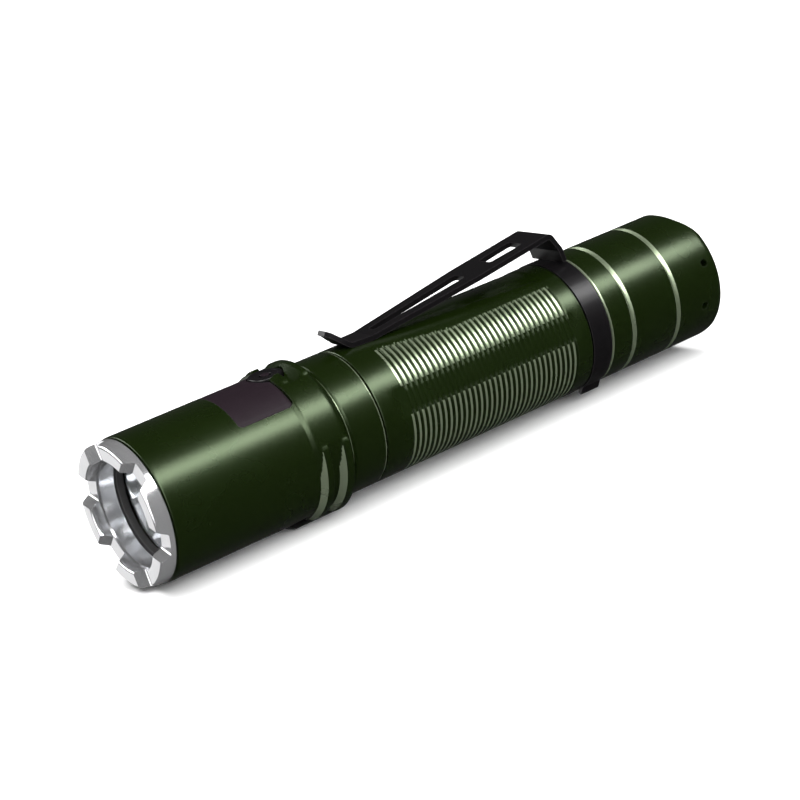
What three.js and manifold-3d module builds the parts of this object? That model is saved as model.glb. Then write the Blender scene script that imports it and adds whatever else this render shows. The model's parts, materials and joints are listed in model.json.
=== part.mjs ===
// Compact one-cell tactical flashlight: screwed head with a side switch and a charging port,
// grooved battery tube with a pocket clip, and a tailcap with two switches between two horns.
// Millimetres. The light's axis lies along X with the beam towards +X. The clip and the side
// switch are on top (+Z). Angles about the axis are measured from +Z towards +Y.
import * as THREE from 'three';
import { mergeVertices } from 'three/addons/utils/BufferGeometryUtils.js';
import Module from 'manifold-3d';

const wasm = await Module();
wasm.setup();

// ---- driving dimensions -------------------------------------------------------------------
const HALF_LENGTH = 65;          // half of the length, horn tips to bezel tips
const AXIS_HEIGHT = 14.4;        // axis above the surface that the light lies on
const HEAD_R = 13.5;
const FIN_R = 14.4;              // cooling fins round the switch
const TUBE_R = 12.8;
const HEAD_JOINT_X = 16.85;      // where the head meets the battery tube
const TAIL_JOINT_X = -36.25;     // where the battery tube meets the tailcap
const GAP = 0.3;                 // between pieces that rest on each other
const THREAD_BORE_R = 11.7;
const THREAD_R = 11.4;
const THREAD_PITCH = 1.0;
const CELL_R = 9.3;
const CELL_FRONT_X = 21.0;
const CELL_REAR_X = -46.0;
const SLEEVE_OUTER_R = 9.9;
const SLEEVE_INNER_R = 9.6;
const TUBE_BORE_R = 10.1;
const TUBE_FRONT_X = 24.0;
const TUBE_REAR_X = -44.6;
const HEAD_THREAD_X = [20.1, 23.6];
const TAIL_THREAD_X = [-44.2, -40.1];
const HEAD_O_RING_X = 18.55;
const TAIL_O_RING_X = -38.55;
const O_RING_WIRE_R = 0.55;
const O_RING_GROOVE_R = 10.3;
const O_RING_GROOVE_HALF_WIDTH = 0.85;

const BEZEL_REAR_X = 61.9;
const BEZEL_SKIRT_REAR_X = 56.6; // the skirt screws into the front of the head
const BEZEL_SKIRT_R = 12.1;
const BEZEL_SKIRT_BORE_R = 11.75;
const BEZEL_LIP_X = 59.4;        // rear of the lip that holds the gasket on the lens
const BEZEL_GROOVE_X = [62.4, 62.9];
const BEZEL_GROOVE_R = 10.9;
const BEZEL_R = 13.3;
const BEZEL_OPENING_R = 10.3;
const BEZEL_NOTCHES = 6;
const BEZEL_NOTCH_DEPTH = 2.0;
const BEZEL_NOTCH_HALF_ANGLE = 13;
const BEZEL_FIRST_NOTCH = 45;
const SHELF_REAR_X = 34.8;       // web across the head that carries the LED
const SHELF_FRONT_X = 37.6;
const SHELF_HOLE_R = 2.2;        // for the wires to the LED
const FRONT_BORE_X = 56.2;       // bore for the bezel's skirt
const FRONT_BORE_R = 12.4;
const REFLECTOR_BORE_R = 11.9;
const REFLECTOR_FRONT_X = 55.5;
const REFLECTOR_REAR_X = 40.4;
const REFLECTOR_MOUTH_R = 10.7;
const REFLECTOR_THROAT_R = 2.6;
const REFLECTOR_RIM = 1.4;       // thickness of the rim that carries the lens
const LENS_R = 11.5;
const LENS_THICKNESS = 1.6;
const GASKET_X = [57.7, 59.1];
const GASKET_INNER_R = 9.9;

const NECK_GROOVE_X = 24.1;
const FIN_FOOT_R = 13.05;
const REAR_FIN = { foot: 24.5, crest: [25.4, 26.5], end: 28.4 };
const FRONT_FIN = { foot: 29.4, crest: [29.8, 30.7], end: 32.5 };
const PAD_R = 14.1;              // smooth pads that bridge the fins beside the switch
const PAD_ANGLES = [25, 83];
const PAD_FOOT_R = 12.5;
const BUTTON_X = 30.6;
const BUTTON_R = 3.2;
const BUTTON_TOP_Z = 13.7;
const BUTTON_BOTTOM_Z = 12.0;
const BUTTON_FLANGE_R = 3.9;
const WINDOW_R = 0.85;           // light window in the middle of the side switch
const INLAY_HALF_ANGLE = 45.5;   // dark inlay in front of the side switch
const INLAY_FROM_X = 31.9;
const INLAY_TO_X = 43.1;
const INLAY_FLOOR_R = 12.75;
const PORT_X = 30.5;             // charging port, opposite the side switch
const PORT_HALF_WIDTH = 4.45;
const PORT_HALF_HEIGHT = 1.6;
const PORT_MOUTH_Z = -12.6;
const PORT_DEPTH = 6.8;
const PORT_WALL = 0.3;
const COVER_X = [25.5, 34.9];
const COVER_HALF_WIDTH = 6.3;

const RING_COUNT = 33;           // grip rings
const RING_FIRST_X = 10.9;
const RING_LAST_X = -28.0;
const RING_DEPTH = 0.35;

const CLIP_RING_X = [-36.05, -31.65];
const CLIP_SEAT_R = 12.3;
const CLIP_RING_INNER_R = 12.55;
const CLIP_RING_OUTER_R = 13.35;
const CLIP_RING_HALF_ANGLE = 150;
const CLIP_SHEET = 0.95;
const CLIP_BEND = [-32.7, 18.8]; // highest point of the blade, above the collar
const CLIP_WIDE = 4.7;           // half width at the bend
const CLIP_NARROW = 3.1;         // half width at the contact pad

const TAIL_GROOVES_X = [-41.9, -53.2];
const HORN_FLOOR_X = -60.5;      // floor of the switch recess between the horns
const RECESS_R = 9.2;
const SCOOP_R = 16.5;            // hollow between the horn tips
const SCOOP_X = -78.5;
const LANYARD_HOLE_R = 0.8;
const LANYARD_HOLES = [[-61.8, 71.5], [-60.1, 108.5]];
const MAIN_BUTTON_Z = 3.4;
const MAIN_BUTTON_R = 4.8;
const PADDLE_Z = -5.2;
const PADDLE_HALF_WIDTH = 3.9;
const PADDLE_HALF_HEIGHT = 2.0;
const TAIL_BOARD_X = [-52.0, -50.9];

// ---- finishes -------------------------------------------------------------------------------
const FINISH = {
  anodised: { color: 0x2c4420, roughness: 0.42, metalness: 0.75 },
  steel: { color: 0xc9cbcc, roughness: 0.16, metalness: 1.0 },
  blackSteel: { color: 0x232124, roughness: 0.35, metalness: 0.7 },
  mirror: { color: 0xe8e8ea, roughness: 0.05, metalness: 1.0 },
  glass: { color: 0xdfe8ee, roughness: 0.03, metalness: 0.0, opacity: 0.3, transparent: true },
  rubber: { color: 0x141414, roughness: 0.85, metalness: 0.0 },
  blackPlastic: { color: 0x221f24, roughness: 0.5, metalness: 0.0 },
  whitePlastic: { color: 0xe7e5df, roughness: 0.5, metalness: 0.0 },
  board: { color: 0x1d4a2a, roughness: 0.5, metalness: 0.1 },
  copper: { color: 0xc0763d, roughness: 0.3, metalness: 1.0 },
  brass: { color: 0xc9a24a, roughness: 0.3, metalness: 1.0 },
  phosphor: { color: 0xe3cf3c, roughness: 0.4, metalness: 0.0 },
  cellWrap: { color: 0x2a3f7a, roughness: 0.35, metalness: 0.0 },
  tin: { color: 0xb8b9bb, roughness: 0.3, metalness: 1.0 },
};

const DEG = Math.PI / 180;
const group = new THREE.Group();

// ---- closed solids --------------------------------------------------------------------------
function signedVolume(points, triangles) {
  const a = new THREE.Vector3();
  const b = new THREE.Vector3();
  const c = new THREE.Vector3();
  let volume = 0;
  for (let t = 0; t < triangles.length; t += 3) {
    a.fromArray(points, 3 * triangles[t]);
    b.fromArray(points, 3 * triangles[t + 1]);
    c.fromArray(points, 3 * triangles[t + 2]);
    volume += a.dot(b.cross(c)) / 6;
  }
  return volume;
}

function toSolid(geometry) {
  const bare = geometry.clone();
  bare.deleteAttribute('normal');
  bare.deleteAttribute('uv');
  const welded = mergeVertices(bare, 1e-4);
  const index = welded.index.array;
  const triangles = [];
  for (let t = 0; t < index.length; t += 3) {
    const [a, b, c] = [index[t], index[t + 1], index[t + 2]];
    if (a !== b && b !== c && c !== a) triangles.push(a, b, c);
  }
  const points = Float32Array.from(welded.attributes.position.array);
  if (signedVolume(points, triangles) < 0) triangles.reverse();
  return new wasm.Manifold(new wasm.Mesh({
    numProp: 3,
    vertProperties: points,
    triVerts: Uint32Array.from(triangles),
  }));
}

function addPiece(name, solid, finish) {
  const body = solid.getMesh();
  const geometry = new THREE.BufferGeometry();
  geometry.setAttribute('position', new THREE.BufferAttribute(Float32Array.from(body.vertProperties), 3));
  geometry.setIndex(new THREE.BufferAttribute(Uint32Array.from(body.triVerts), 1));
  geometry.computeVertexNormals();
  const piece = new THREE.Mesh(geometry, new THREE.MeshStandardMaterial(finish));
  piece.name = name;
  piece.position.z = AXIS_HEIGHT;
  group.add(piece);
}

// A body of revolution about the light's axis. Profile points are [x, radius].
function turned(profile, segments = 40) {
  const outline = profile.map(([x, r]) => new THREE.Vector2(r, x));
  const geometry = new THREE.LatheGeometry(outline, segments);
  geometry.rotateZ(-Math.PI / 2);
  return toSolid(geometry);
}

function disc(fromX, toX, r, segments = 32) {
  return turned([[fromX, 0], [fromX, r], [toX, r], [toX, 0]], segments);
}

function ring(fromX, toX, innerR, outerR, segments = 40) {
  const profile = [[fromX, innerR], [fromX, outerR], [toX, outerR], [toX, innerR], [fromX, innerR]];
  return turned(profile, segments);
}

function roundRing(x, middleR, wireR, segments = 40, sides = 8) {
  const profile = [];
  for (let i = 0; i <= sides; i += 1) {
    const turn = (i / sides) * 2 * Math.PI;
    profile.push([x + wireR * Math.cos(turn), middleR + wireR * Math.sin(turn)]);
  }
  profile[sides] = profile[0];
  return turned(profile, segments);
}

function box(low, high) {
  const size = high.map((value, i) => value - low[i]);
  const geometry = new THREE.BoxGeometry(...size);
  geometry.translate(...high.map((value, i) => (value + low[i]) / 2));
  return toSolid(geometry);
}

function outlineOf(points) {
  return new THREE.Shape(points.map(([u, v]) => new THREE.Vector2(u, v)));
}

// Prisms along each axis. Outline points are [y, z], [x, z] and [x, y].
function prismX(points, fromX, toX) {
  const geometry = new THREE.ExtrudeGeometry(outlineOf(points), { depth: toX - fromX, bevelEnabled: false });
  const turn = new THREE.Matrix4().makeBasis(
    new THREE.Vector3(0, 1, 0), new THREE.Vector3(0, 0, 1), new THREE.Vector3(1, 0, 0));
  geometry.applyMatrix4(turn);
  geometry.translate(fromX, 0, 0);
  return toSolid(geometry);
}

function prismY(points, halfWidth) {
  const geometry = new THREE.ExtrudeGeometry(outlineOf(points), { depth: 2 * halfWidth, bevelEnabled: false });
  const turn = new THREE.Matrix4().makeBasis(
    new THREE.Vector3(1, 0, 0), new THREE.Vector3(0, 0, 1), new THREE.Vector3(0, -1, 0));
  geometry.applyMatrix4(turn);
  geometry.translate(0, halfWidth, 0);
  return toSolid(geometry);
}

function prismZ(points, fromZ, toZ) {
  const geometry = new THREE.ExtrudeGeometry(outlineOf(points), { depth: toZ - fromZ, bevelEnabled: false });
  geometry.translate(0, 0, fromZ);
  return toSolid(geometry);
}

function postZ(x, y, r, fromZ, toZ, segments = 28) {
  const geometry = new THREE.CylinderGeometry(r, r, toZ - fromZ, segments);
  geometry.rotateX(Math.PI / 2);
  geometry.translate(x, y, (fromZ + toZ) / 2);
  return toSolid(geometry);
}

function postX(fromX, toX, z, r, segments = 28) {
  const geometry = new THREE.CylinderGeometry(r, r, toX - fromX, segments);
  geometry.rotateZ(-Math.PI / 2);
  geometry.translate((fromX + toX) / 2, 0, z);
  return toSolid(geometry);
}

// Part of a ring between two angles, in degrees from +Z towards +Y.
function sectorOutline(innerR, outerR, fromAngle, toAngle, steps) {
  const outline = [];
  for (let i = 0; i <= steps; i += 1) {
    const angle = (fromAngle + ((toAngle - fromAngle) * i) / steps) * DEG;
    outline.push([outerR * Math.sin(angle), outerR * Math.cos(angle)]);
  }
  for (let i = steps; i >= 0; i -= 1) {
    const angle = (fromAngle + ((toAngle - fromAngle) * i) / steps) * DEG;
    outline.push([innerR * Math.sin(angle), innerR * Math.cos(angle)]);
  }
  return outline;
}

function sector(fromX, toX, innerR, outerR, fromAngle, toAngle, steps = 12) {
  return prismX(sectorOutline(innerR, outerR, fromAngle, toAngle, steps), fromX, toX);
}

class Helix extends THREE.Curve {
  constructor(fromX, toX, startR, endR, turns) {
    super();
    Object.assign(this, { fromX, toX, startR, endR, turns });
  }

  getPoint(t) {
    const angle = 2 * Math.PI * this.turns * t;
    const r = this.startR + (this.endR - this.startR) * t;
    const x = this.fromX + (this.toX - this.fromX) * t;
    return new THREE.Vector3(x, r * Math.sin(angle), r * Math.cos(angle));
  }
}

function coil(fromX, toX, startR, endR, turns, wireR) {
  const outline = [];
  for (let i = 0; i < 5; i += 1) {
    outline.push([wireR * Math.cos((i * 2 * Math.PI) / 5), wireR * Math.sin((i * 2 * Math.PI) / 5)]);
  }
  const path = new Helix(fromX + wireR, toX - wireR, startR, endR, turns);
  const options = { steps: turns * 12, extrudePath: path, bevelEnabled: false };
  return toSolid(new THREE.ExtrudeGeometry(outlineOf(outline), options));
}

// ---- threads, as rings of the right pitch ----------------------------------------------------
function threadProfile(fromX, toX) {
  const crests = [];
  for (let x = fromX; x + THREAD_PITCH <= toX; x += THREAD_PITCH) {
    crests.push([x, THREAD_R - 0.4], [x + THREAD_PITCH / 2, THREAD_R]);
  }
  crests.push([toX, THREAD_R - 0.4]);
  return crests;
}

// ---- head -----------------------------------------------------------------------------------
function headHousing() {
  const outer = [
    [HEAD_JOINT_X + GAP / 2, TUBE_R - 0.3], [HEAD_JOINT_X + 0.5, TUBE_R],
    [NECK_GROOVE_X - 0.4, TUBE_R], [NECK_GROOVE_X, TUBE_R - 0.4], [REAR_FIN.foot, FIN_FOOT_R],
    [REAR_FIN.crest[0], FIN_R], [REAR_FIN.crest[1], FIN_R], [REAR_FIN.end, FIN_FOOT_R],
    [FRONT_FIN.foot, FIN_FOOT_R], [FRONT_FIN.crest[0], FIN_R], [FRONT_FIN.crest[1], FIN_R],
    [FRONT_FIN.end, HEAD_R], [BEZEL_REAR_X - GAP - 0.3, HEAD_R], [BEZEL_REAR_X - GAP, HEAD_R - 0.3],
  ];
  const inner = [
    [BEZEL_REAR_X - GAP, FRONT_BORE_R], [FRONT_BORE_X, FRONT_BORE_R], [FRONT_BORE_X, REFLECTOR_BORE_R],
    [SHELF_FRONT_X, REFLECTOR_BORE_R], [SHELF_FRONT_X, SHELF_HOLE_R], [SHELF_REAR_X, SHELF_HOLE_R],
    [SHELF_REAR_X, THREAD_BORE_R], [HEAD_JOINT_X + GAP / 2, THREAD_BORE_R],
  ];
  let shell = turned([...outer, ...inner, outer[0]], 48);
  const padRing = turned([
    [REAR_FIN.foot, PAD_FOOT_R], [REAR_FIN.foot, FIN_FOOT_R], [REAR_FIN.crest[0] + 0.3, PAD_R],
    [FRONT_FIN.end - 0.9, PAD_R], [FRONT_FIN.end, HEAD_R], [FRONT_FIN.end, PAD_FOOT_R],
    [REAR_FIN.foot, PAD_FOOT_R],
  ], 48);
  for (const side of [-1, 1]) {
    const [fromAngle, toAngle] = PAD_ANGLES;
    const wedge = sector(REAR_FIN.foot - 1, FRONT_FIN.end + 1, 12, 16, side * fromAngle, side * toAngle);
    shell = shell.add(padRing.intersect(wedge));
  }
  const cuts = [
    sector(INLAY_FROM_X - 0.25, INLAY_TO_X + 0.25, INLAY_FLOOR_R - GAP, 15,
      -INLAY_HALF_ANGLE - 1, INLAY_HALF_ANGLE + 1),
    postZ(BUTTON_X, 0, BUTTON_R + 0.2, 10, 16),
    postZ(BUTTON_X, 0, BUTTON_FLANGE_R + 0.25, 9, 12.8),
    box([PORT_X - 1.9, -4.75, -16], [PORT_X + 1.9, 4.75, -10]),
    box([COVER_X[0] - GAP, -COVER_HALF_WIDTH - GAP, -16],
      [COVER_X[1] + GAP, COVER_HALF_WIDTH + GAP, -13.25]),
  ];
  return cuts.reduce((rest, cut) => rest.subtract(cut), shell);
}

function bezel() {
  const [grooveRearX, grooveFrontX] = BEZEL_GROOVE_X;
  const body = turned([
    [BEZEL_SKIRT_REAR_X, BEZEL_SKIRT_BORE_R], [BEZEL_SKIRT_REAR_X, BEZEL_SKIRT_R],
    [BEZEL_REAR_X, BEZEL_SKIRT_R], [BEZEL_REAR_X, BEZEL_R],
    [HALF_LENGTH - 0.6, BEZEL_R], [HALF_LENGTH, BEZEL_R - 0.6], [HALF_LENGTH, BEZEL_OPENING_R + 0.5],
    [HALF_LENGTH - 0.5, BEZEL_OPENING_R], [grooveFrontX, BEZEL_OPENING_R],
    [grooveFrontX, BEZEL_GROOVE_R], [grooveRearX, BEZEL_GROOVE_R], [grooveRearX, BEZEL_OPENING_R],
    [BEZEL_LIP_X, BEZEL_OPENING_R], [BEZEL_LIP_X, BEZEL_SKIRT_BORE_R],
    [BEZEL_SKIRT_REAR_X, BEZEL_SKIRT_BORE_R],
  ], 48);
  let crowned = body;
  for (let i = 0; i < BEZEL_NOTCHES; i += 1) {
    const middle = (BEZEL_FIRST_NOTCH + (i * 360) / BEZEL_NOTCHES) * DEG;
    const wide = 14 * Math.sin(BEZEL_NOTCH_HALF_ANGLE * DEG);
    const narrow = wide - 1.2;
    const notch = new THREE.ExtrudeGeometry(outlineOf([
      [HALF_LENGTH - BEZEL_NOTCH_DEPTH, -narrow], [HALF_LENGTH + 1, -wide - 0.6],
      [HALF_LENGTH + 1, wide + 0.6], [HALF_LENGTH - BEZEL_NOTCH_DEPTH, narrow],
    ]), { depth: 8, bevelEnabled: false });
    notch.translate(0, 0, 9);
    notch.rotateX(-middle);
    crowned = crowned.subtract(toSolid(notch));
  }
  return crowned;
}

function reflector() {
  const inside = [];
  const outside = [];
  const throatR = REFLECTOR_THROAT_R;
  const rearX = REFLECTOR_REAR_X;
  const lengthAlong = REFLECTOR_FRONT_X - rearX;
  for (let i = 0; i <= 6; i += 1) {
    const r = throatR + ((REFLECTOR_MOUTH_R - throatR) * i) / 6;
    const depth = (r * r - throatR * throatR) / (REFLECTOR_MOUTH_R ** 2 - throatR ** 2);
    inside.push([rearX + depth * lengthAlong, r]);
    if (i < 6) outside.push([rearX + depth * (lengthAlong - REFLECTOR_RIM), r + 0.9]);
  }
  outside.push([REFLECTOR_FRONT_X - REFLECTOR_RIM, LENS_R], [REFLECTOR_FRONT_X, LENS_R]);
  return turned([...inside, ...outside.reverse(), inside[0]], 28);
}

function addHead() {
  addPiece('head_housing', headHousing(), FINISH.anodised);
  addPiece('strike_bezel', bezel(), FINISH.steel);
  addPiece('reflector', reflector(), FINISH.mirror);
  const lensRearX = REFLECTOR_FRONT_X + GAP;
  addPiece('front_lens', disc(lensRearX, lensRearX + LENS_THICKNESS, LENS_R, 40), FINISH.glass);
  addPiece('lens_gasket', ring(...GASKET_X, GASKET_INNER_R, LENS_R), FINISH.rubber);
  addPiece('led_board', disc(SHELF_FRONT_X + GAP, SHELF_FRONT_X + 1.5, 8), FINISH.copper);
  addPiece('led_emitter', box([39.3, -1.75, -1.75], [40.0, 1.75, 1.75]), FINISH.phosphor);
  addPiece('led_centering_ring', ring(39.3, 40.2, 2.8, 5.2, 24), FINISH.whitePlastic);

  addPiece('driver_retaining_ring', ring(24.9, 26.3, 7.5, 11.3, 32), FINISH.brass);
  addPiece('driver_board', disc(26.6, 27.7, 11.2), FINISH.board);
  addPiece('driver_inductor', box([28.0, -8.2, -3.2], [31.4, -2.8, 2.2]), FINISH.blackPlastic);
  addPiece('driver_chip', box([28.0, 2.6, -2.4], [29.0, 7.6, 2.6]), FINISH.blackPlastic);
  addPiece('driver_contact_spring', coil(22.6, 26.3, 2.2, 3.4, 4, 0.3), FINISH.brass);

  const inlay = sector(INLAY_FROM_X, INLAY_TO_X, INLAY_FLOOR_R, HEAD_R, -INLAY_HALF_ANGLE, INLAY_HALF_ANGLE)
    .subtract(postZ(BUTTON_X, 0, BUTTON_R + 0.3, 12, 16))
    .subtract(postZ(BUTTON_X, 0, BUTTON_FLANGE_R + 0.3, 11, 12.85));
  addPiece('dark_inlay', inlay, FINISH.blackPlastic);
  const button = postZ(BUTTON_X, 0, BUTTON_R, BUTTON_BOTTOM_Z, BUTTON_TOP_Z)
    .add(postZ(BUTTON_X, 0, BUTTON_FLANGE_R, BUTTON_BOTTOM_Z, BUTTON_BOTTOM_Z + 0.55))
    .subtract(postZ(BUTTON_X, 0, WINDOW_R + GAP, BUTTON_TOP_Z - 0.6, BUTTON_TOP_Z + 1, 16));
  const lightWindow = postZ(BUTTON_X, 0, WINDOW_R, BUTTON_TOP_Z - GAP, BUTTON_TOP_Z - 0.1, 16);
  addPiece('side_switch_button', button, FINISH.blackSteel);
  addPiece('button_light_window', lightWindow, FINISH.blackPlastic);
  addPiece('side_switch_dome', postZ(BUTTON_X, 0, 2.3, 10.2, 11.2, 20), FINISH.tin);
  addPiece('side_switch_board', box([28.0, -4.6, 9.0], [33.9, 4.6, 9.9]), FINISH.board);

  const openHalfHeight = PORT_HALF_HEIGHT - PORT_WALL;
  const openHalfWidth = PORT_HALF_WIDTH - PORT_WALL;
  const shell = box([PORT_X - PORT_HALF_HEIGHT, -PORT_HALF_WIDTH, PORT_MOUTH_Z],
    [PORT_X + PORT_HALF_HEIGHT, PORT_HALF_WIDTH, PORT_MOUTH_Z + PORT_DEPTH])
    .subtract(box([PORT_X - openHalfHeight, -openHalfWidth, PORT_MOUTH_Z - 1],
      [PORT_X + openHalfHeight, openHalfWidth, PORT_MOUTH_Z + PORT_DEPTH - 0.4]));
  addPiece('charge_port_shell', shell, FINISH.tin);
  addPiece('charge_port_tongue', box([PORT_X - 0.35, -3.3, PORT_MOUTH_Z + 0.8],
    [PORT_X + 0.35, 3.3, PORT_MOUTH_Z + PORT_DEPTH - 0.7]), FINISH.blackPlastic);
  const [coverRearX, coverFrontX] = COVER_X;
  const coverPlate = turned([
    [coverRearX, 0], [coverRearX, FIN_R - 0.2], [coverRearX + 0.3, FIN_R], [coverFrontX - 0.3, FIN_R],
    [coverFrontX, FIN_R - 0.2], [coverFrontX, 0],
  ], 48).intersect(box([coverRearX - 1, -COVER_HALF_WIDTH, -16], [coverFrontX + 1, COVER_HALF_WIDTH, -13.5]));
  const coverPlug = box([PORT_X - 1.2, -4.0, -13.8], [PORT_X + 1.2, 4.0, -12.9]);
  addPiece('port_cover', coverPlate.add(coverPlug), FINISH.rubber);
}

// ---- battery tube ---------------------------------------------------------------------------
function oRingGroove(middleX) {
  const rearX = middleX - O_RING_GROOVE_HALF_WIDTH;
  const frontX = middleX + O_RING_GROOVE_HALF_WIDTH;
  return [[rearX, THREAD_R], [rearX, O_RING_GROOVE_R], [frontX, O_RING_GROOVE_R], [frontX, THREAD_R]];
}

function batteryTube() {
  const outer = [
    [TUBE_REAR_X, THREAD_R - 0.4], ...threadProfile(...TAIL_THREAD_X), ...oRingGroove(TAIL_O_RING_X),
    [TAIL_JOINT_X + GAP / 2, THREAD_R], [TAIL_JOINT_X + GAP / 2, CLIP_SEAT_R],
    [CLIP_RING_X[1] + 0.2, CLIP_SEAT_R], [CLIP_RING_X[1] + 0.2, TUBE_R],
  ];
  const pitch = (RING_FIRST_X - RING_LAST_X) / RING_COUNT;
  for (let i = 0; i < RING_COUNT; i += 1) {
    const x = RING_LAST_X + i * pitch;
    outer.push([x, TUBE_R], [x + pitch / 2, TUBE_R - RING_DEPTH]);
  }
  outer.push([RING_FIRST_X, TUBE_R], [HEAD_JOINT_X - 0.5, TUBE_R], [HEAD_JOINT_X - GAP / 2, TUBE_R - 0.3]);
  outer.push([HEAD_JOINT_X - GAP / 2, THREAD_R], ...oRingGroove(HEAD_O_RING_X));
  outer.push(...threadProfile(...HEAD_THREAD_X), [TUBE_FRONT_X, THREAD_R - 0.5]);
  const bore = [[TUBE_FRONT_X, TUBE_BORE_R], [TUBE_REAR_X, TUBE_BORE_R]];
  return turned([...outer, ...bore, outer[0]], 32);
}

function addBattery() {
  addPiece('battery_tube', batteryTube(), FINISH.anodised);
  const sleeve = ring(TUBE_REAR_X + 0.2, TUBE_FRONT_X - 0.2, SLEEVE_INNER_R, SLEEVE_OUTER_R, 36);
  addPiece('inner_sleeve', sleeve, FINISH.brass);
  const oRingR = O_RING_GROOVE_R + O_RING_WIRE_R + 0.1;
  addPiece('head_o_ring', roundRing(HEAD_O_RING_X, oRingR, O_RING_WIRE_R, 28, 6), FINISH.rubber);
  addPiece('tail_o_ring', roundRing(TAIL_O_RING_X, oRingR, O_RING_WIRE_R, 28, 6), FINISH.rubber);
  addPiece('battery_cell', disc(CELL_REAR_X + 0.6, CELL_FRONT_X, CELL_R), FINISH.cellWrap);
  addPiece('battery_positive_cap', disc(CELL_FRONT_X + 0.2, CELL_FRONT_X + 1.3, 3.6, 24), FINISH.tin);
  addPiece('battery_negative_plate', disc(CELL_REAR_X, CELL_REAR_X + 0.4, 8.6), FINISH.tin);
}

// ---- pocket clip, one piece of bent sheet steel ------------------------------------------------
function clipCollar() {
  const steps = 30;
  const half = CLIP_RING_HALF_ANGLE;
  const at = (r, angle) => [r * Math.sin(angle * DEG), r * Math.cos(angle * DEG)];
  const outline = [];
  for (let i = 0; i <= steps; i += 1) outline.push(at(CLIP_RING_OUTER_R, -half + (2 * half * i) / steps));
  outline.push(at(14.25, half + 4), at(14.0, half + 8), at(13.0, half + 4));
  for (let i = steps; i >= 0; i -= 1) outline.push(at(CLIP_RING_INNER_R, -half + (2 * half * i) / steps));
  outline.push(at(13.0, -half - 4), at(14.0, -half - 8), at(14.25, -half - 4));
  return prismX(outline, ...CLIP_RING_X);
}

function clipBlade() {
  const top = [[17.2, 15.5], [15.6, 16.15], [13.9, 15.9], [11.6, 14.3], [10.0, 13.95], [8.0, 14.0]];
  const [bendX, bendZ] = CLIP_BEND;
  top.push([bendX, bendZ], [bendX - 0.8, bendZ - 0.15], [bendX - 1.4, bendZ - 0.7], [bendX - 2.9, bendZ - 3.5]);
  top.push([bendX - 3.25, bendZ - 4.5], [bendX - 3.3, CLIP_RING_OUTER_R - 0.45]);
  const under = top.map(([x, z], i) => {
    const before = top[Math.max(i - 1, 0)];
    const after = top[Math.min(i + 1, top.length - 1)];
    const along = new THREE.Vector2(after[0] - before[0], after[1] - before[1]).normalize();
    return [x - along.y * CLIP_SHEET, z + along.x * CLIP_SHEET];
  });
  const ribbon = prismY([...top, ...under.reverse()], CLIP_WIDE);
  const plan = prismZ([
    [17.4, -1.6], [16.4, -2.6], [9, -CLIP_NARROW], [4, -CLIP_NARROW], [-18, -CLIP_WIDE], [-38, -CLIP_WIDE],
    [-38, CLIP_WIDE], [-18, CLIP_WIDE], [4, CLIP_NARROW], [9, CLIP_NARROW], [16.4, 2.6], [17.4, 1.6],
  ], 10, 22);
  const longSlot = prismZ([[6.2, -0.9], [-15.2, -1.7], [-15.2, 1.7], [6.2, 0.9]], 10, 22);
  const shortSlot = prismZ([[-21.4, -1.8], [-29.1, -2.1], [-29.1, 2.1], [-21.4, 1.8]], 10, 22);
  return ribbon.intersect(plan).subtract(longSlot).subtract(shortSlot);
}

function addClip() {
  const seat = disc(CLIP_RING_X[0] - 1, CLIP_RING_X[1] + 1, CLIP_RING_INNER_R, 60);
  const clip = clipBlade().subtract(seat).add(clipCollar());
  addPiece('pocket_clip', clip, FINISH.blackSteel);
}

// ---- tailcap --------------------------------------------------------------------------------
function tailcapHousing() {
  const [groove1, groove2] = TAIL_GROOVES_X;
  const cap = turned([
    [TAIL_JOINT_X - GAP / 2, TUBE_R - 0.3], [TAIL_JOINT_X - 0.5, TUBE_R],
    [groove1 + 0.5, TUBE_R], [groove1, TUBE_R - 0.45], [groove1 - 0.5, TUBE_R],
    [groove2 + 0.5, TUBE_R], [groove2, TUBE_R - 0.45], [groove2 - 0.5, TUBE_R],
    [-HALF_LENGTH + 1.5, TUBE_R], [-HALF_LENGTH + 0.45, TUBE_R - 0.45], [-HALF_LENGTH, TUBE_R - 1.4],
    [-HALF_LENGTH, 0], [HORN_FLOOR_X + 1.7, 0], [HORN_FLOOR_X + 1.7, 10.6], [-52.2, 10.6],
    [-52.2, 11.3], [-50.75, 11.3], [-50.75, THREAD_BORE_R], [TAIL_JOINT_X - GAP / 2, THREAD_BORE_R],
    [TAIL_JOINT_X - GAP / 2, TUBE_R - 0.3],
  ], 48);
  const cuts = [
    disc(-HALF_LENGTH - 1, HORN_FLOOR_X, RECESS_R, 36),
    postZ(SCOOP_X, 0, SCOOP_R, -15, 15, 64),
    postX(HORN_FLOOR_X - 1, HORN_FLOOR_X + 3, MAIN_BUTTON_Z, MAIN_BUTTON_R + 0.25, 32),
    box([HORN_FLOOR_X - 1, -PADDLE_HALF_WIDTH - 0.25, PADDLE_Z - PADDLE_HALF_HEIGHT - 0.25],
      [HORN_FLOOR_X + 3, PADDLE_HALF_WIDTH + 0.25, PADDLE_Z + PADDLE_HALF_HEIGHT + 0.25]),
  ];
  for (const [x, angle] of LANYARD_HOLES) {
    for (const side of [-1, 1]) {
      const hole = new THREE.CylinderGeometry(LANYARD_HOLE_R, LANYARD_HOLE_R, 8, 12);
      hole.rotateX(Math.PI / 2);
      hole.translate(x, 0, 12);
      hole.rotateX(-side * angle * DEG);
      cuts.push(toSolid(hole));
    }
  }
  return cuts.reduce((rest, cut) => rest.subtract(cut), cap);
}

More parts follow.
